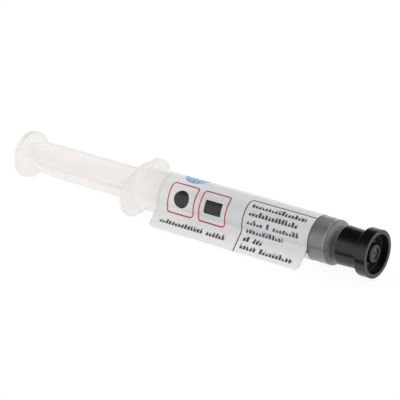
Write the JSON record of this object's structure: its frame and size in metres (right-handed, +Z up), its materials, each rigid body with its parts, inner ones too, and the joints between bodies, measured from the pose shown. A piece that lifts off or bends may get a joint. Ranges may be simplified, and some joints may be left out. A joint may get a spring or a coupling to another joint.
{
  "type": "solder paste syringe",
  "caption": "Clear plastic hand syringe filled with grey solder paste, with a cross-finned plunger, finger flange, wrap-around label and a black screw-on tip cap, lying on its side.",
  "frame": {"origin": "on the table, under the middle of the whole length", "axes": "+X along the barrel towards the tip cap, +Z up; the label's flag points to -Y"},
  "size_m": [0.1538, 0.0276, 0.0176],
  "materials": {
    "natural_plastic": "translucent natural polypropylene, smooth moulded gloss",
    "plunger_plastic": "milky natural polypropylene, satin",
    "seal_rubber": "black rubber, satin",
    "paste": "grey metal powder in flux, dull with a fine grain",
    "cap_plastic": "black polypropylene, smooth satin",
    "label_film": "light grey printed film, satin"
  },
  "bodies": {
    "barrel": {"barrel": "natural_plastic", "solder_paste": "paste", "label": "label_film"},
    "plunger": {"plunger_rod": "plunger_plastic", "piston_seal": "seal_rubber"},
    "cap": {"tip_cap": "cap_plastic"}
  },
  "joints": [
    {"name": "plunger_slide", "type": "slide", "parent": "barrel", "child": "plunger", "axis": [1, 0, 0], "range_m": [-0.0265, 0.0433], "deforming": ["solder_paste"]},
    {"name": "cap_removal", "type": "slide", "parent": "barrel", "child": "cap", "axis": [1, 0, 0], "range_m": [0, 0.02]}
  ]
}
